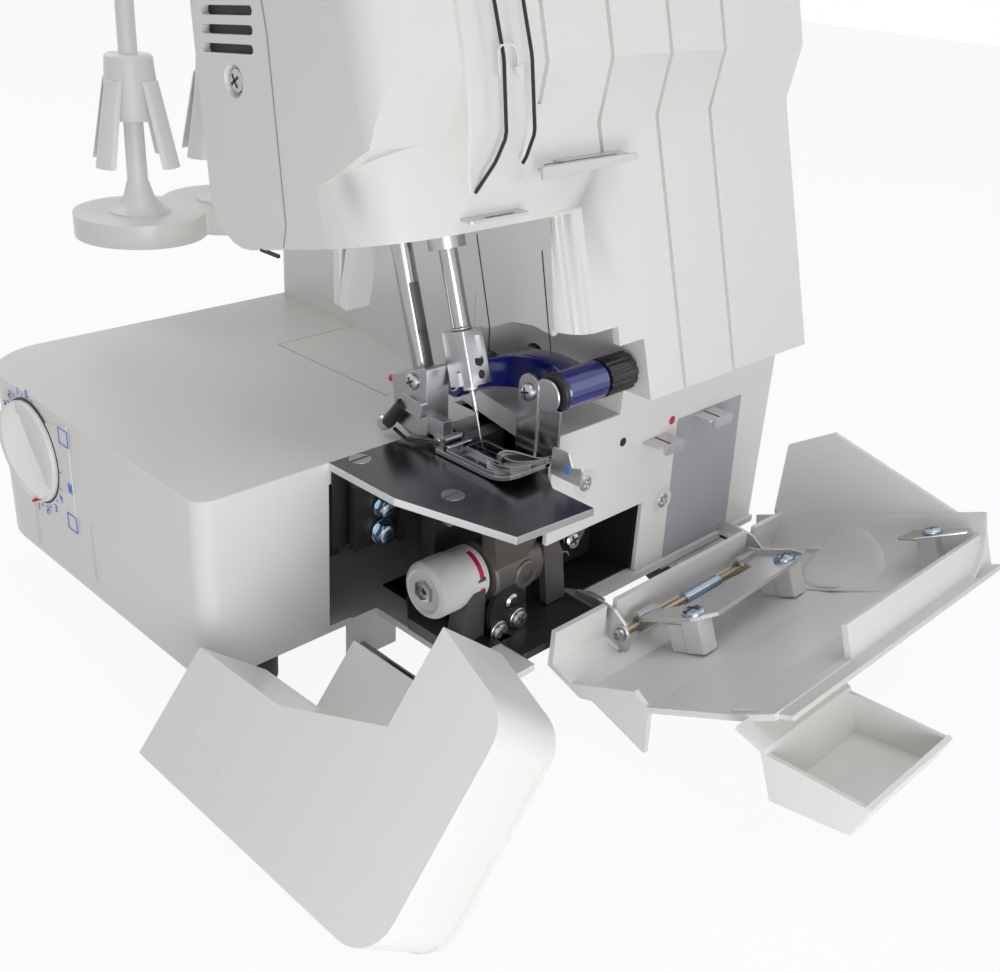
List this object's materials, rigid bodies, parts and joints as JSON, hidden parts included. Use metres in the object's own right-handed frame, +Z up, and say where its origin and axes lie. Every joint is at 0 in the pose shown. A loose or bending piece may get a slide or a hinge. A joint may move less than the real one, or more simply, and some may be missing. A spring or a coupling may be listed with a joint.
{
  "type": "overlock sewing machine",
  "caption": "Overlock sewing machine with its side cover and looper cover open, thread stand, dials, needle, presser foot, knives and loopers.",
  "frame": {"origin": "centre of the body's footprint on the table, at the height of the rubber feet's undersides", "axes": "+X to the operator's right, +Y away from the operator, +Z up"},
  "size_m": [0.3207, 0.4439, 0.335],
  "materials": {
    "shell_white": "semi-gloss white",
    "dial_white": "satin white",
    "plate_steel": "polished steel",
    "zinc": "bright plated",
    "casting": "grey cast",
    "blue_paint": "gloss dark blue",
    "black_plastic": "black",
    "rubber": "black rubber"
  },
  "bodies": {
    "machine": {"base_tray": "shell_white", "rubber_feet": "rubber", "bed_cover": "shell_white", "column_shell": "shell_white", "arm_shell": "shell_white", "end_cap": "shell_white", "front_plate": "shell_white", "tension_panel": "shell_white", "guide_capsule": "shell_white", "needle_plate": "plate_steel", "plate_screws": "zinc", "looper_frame": "casting", "frame_bracket": "black_plastic", "frame_screws": "zinc", "shaft_bushes": "casting", "motor": "black_plastic", "bar_carrier": "zinc", "lower_knife": "plate_steel", "thread_guides": "zinc", "spool_base": "shell_white", "spool_pins": "dial_white", "pole_lower": "plate_steel", "power_inlet": "black_plastic", "hinge_ears": "zinc", "hinge_rod": "zinc", "drive_belt": "rubber", "dial_plate": "shell_white", "dial_axle": "plate_steel", "guide_bar": "zinc", "cone_holders": "dial_white"},
    "drive": {"main_shaft": "plate_steel", "handwheel": "dial_white"},
    "motor_rotor": {"motor_pulley": "plate_steel"},
    "needle_unit": {"needle_bar": "plate_steel", "needle_clamp": "zinc", "needle": "plate_steel"},
    "presser_unit": {"presser_bar": "plate_steel", "foot_holder": "zinc"},
    "foot": {"presser_foot": "plate_steel"},
    "lifter": {"lifter_lever": "shell_white"},
    "knife_rocker": {"knife_arm": "blue_paint", "knife_shaft": "plate_steel"},
    "knife_holder": {"knife_knob": "black_plastic", "upper_knife": "plate_steel"},
    "looper_high": {"upper_looper": "plate_steel"},
    "looper_low": {"lower_looper": "plate_steel"},
    "feed": {"feed_dog": "plate_steel"},
    "front_cover": {"looper_cover": "shell_white", "cover_brackets": "zinc", "cover_screws": "zinc"},
    "side_slide": {"side_hinge_pin": "plate_steel"},
    "side_door": {"side_cover": "shell_white"},
    "width_dial": {"stitch_dial": "dial_white"},
    "length_dial": {"length_knob": "dial_white"},
    "tension_1": {"tension_dial_1": "dial_white"},
    "tension_2": {"tension_dial_2": "dial_white"},
    "tension_3": {"tension_dial_3": "dial_white"},
    "tension_4": {"tension_dial_4": "dial_white"},
    "stand": {"pole_upper": "plate_steel"},
    "rocker": {"power_switch": "black_plastic"}
  },
  "joints": [
    {"name": "handwheel_turn", "type": "hinge", "parent": "machine", "child": "drive", "pos_m": [0, -0.008, 0.079], "axis": [1, 0, 0], "continuous": true},
    {"name": "motor_turn", "type": "hinge", "parent": "machine", "child": "motor_rotor", "pos_m": [0, 0.062, 0.0585], "axis": [1, 0, 0], "continuous": true},
    {"name": "needle_stroke", "type": "slide", "parent": "machine", "child": "needle_unit", "axis": [0, 0.309, 0.9511], "range_m": [-0.014, 0.013]},
    {"name": "knife_rock", "type": "hinge", "parent": "machine", "child": "knife_rocker", "pos_m": [0, -0.062, 0.12], "axis": [1, 0, 0], "range_deg": [-5, 5]},
    {"name": "upper_looper_swing", "type": "hinge", "parent": "machine", "child": "looper_high", "pos_m": [0.024, 0, 0.051], "axis": [0, 1, 0], "range_deg": [-12, 12]},
    {"name": "lower_looper_swing", "type": "hinge", "parent": "machine", "child": "looper_low", "pos_m": [0.008, 0, 0.04], "axis": [0, 1, 0], "range_deg": [-12, 12]},
    {"name": "feed_stroke", "type": "slide", "parent": "machine", "child": "feed", "axis": [0, 1, 0], "range_m": [-0.0025, 0.0025]},
    {"name": "knife_retract", "type": "hinge", "parent": "knife_rocker", "child": "knife_holder", "pos_m": [0, -0.111, 0.129], "axis": [-1, 0, 0], "range_deg": [0, 90]},
    {"name": "presser_lift", "type": "slide", "parent": "machine", "child": "presser_unit", "axis": [0, 0.309, 0.9511], "range_m": [0, 0.006], "stiffness_N_per_m": 2000, "springref_m": -0.01},
    {"name": "lifter_turn", "type": "hinge", "parent": "machine", "child": "lifter", "pos_m": [0, -0.03, 0.187], "axis": [1, 0, 0], "range_deg": [0, 60]},
    {"name": "foot_tilt", "type": "hinge", "parent": "presser_unit", "child": "foot", "pos_m": [0, -0.08, 0.106], "axis": [-1, 0, 0], "range_deg": [0, 8]},
    {"name": "looper_cover_hinge", "type": "hinge", "parent": "machine", "child": "front_cover", "pos_m": [0, -0.1351, 0.0264], "axis": [-1, 0, 0], "range_deg": [0, 67]},
    {"name": "side_cover_slide", "type": "slide", "parent": "machine", "child": "side_slide", "axis": [0, 1, 0], "range_m": [0, 0.0107]},
    {"name": "side_cover_hinge", "type": "hinge", "parent": "side_slide", "child": "side_door", "pos_m": [-0.064, 0, 0.01375], "axis": [0, 1, 0], "range_deg": [0, 51]},
    {"name": "width_dial_turn", "type": "hinge", "parent": "machine", "child": "width_dial", "pos_m": [-0.1345, 0.0627, 0.074], "axis": [-1, 0, 0], "range_deg": [-90, 90]},
    {"name": "length_knob_turn", "type": "hinge", "parent": "machine", "child": "length_dial", "pos_m": [-0.05, -0.093, 0.0535], "axis": [-1, 0, 0], "range_deg": [-150, 150]},
    {"name": "tension_1_turn", "type": "hinge", "parent": "machine", "child": "tension_1", "pos_m": [-0.002, -0.0798, 0.277], "axis": [1, 0, 0], "range_deg": [-160, 160]},
    {"name": "tension_2_turn", "type": "hinge", "parent": "machine", "child": "tension_2", "pos_m": [0.031, -0.0798, 0.277], "axis": [1, 0, 0], "range_deg": [-160, 160]},
    {"name": "tension_3_turn", "type": "hinge", "parent": "machine", "child": "tension_3", "pos_m": [0.064, -0.0798, 0.277], "axis": [1, 0, 0], "range_deg": [-160, 160]},
    {"name": "tension_4_turn", "type": "hinge", "parent": "machine", "child": "tension_4", "pos_m": [0.097, -0.0798, 0.277], "axis": [1, 0, 0], "range_deg": [-160, 160]},
    {"name": "stand_rise", "type": "slide", "parent": "machine", "child": "stand", "axis": [0, 0, 1], "range_m": [0, 0.115]},
    {"name": "power_rock", "type": "hinge", "parent": "machine", "child": "rocker", "pos_m": [0.1315, 0.078, 0.0435], "axis": [0, 0, 1], "range_deg": [-12, 0]}
  ],
  "couplings": [
    {"joint": "motor_turn", "follows": "handwheel_turn", "ratio": 3},
    {"joint": "knife_rock", "follows": "needle_stroke", "rad_per_m": 6.2},
    {"joint": "upper_looper_swing", "follows": "needle_stroke", "rad_per_m": 14},
    {"joint": "lower_looper_swing", "follows": "needle_stroke", "rad_per_m": -14},
    {"joint": "feed_stroke", "follows": "needle_stroke", "ratio": 0.17},
    {"joint": "lifter_turn", "follows": "presser_lift", "rad_per_m": 174}
  ]
}
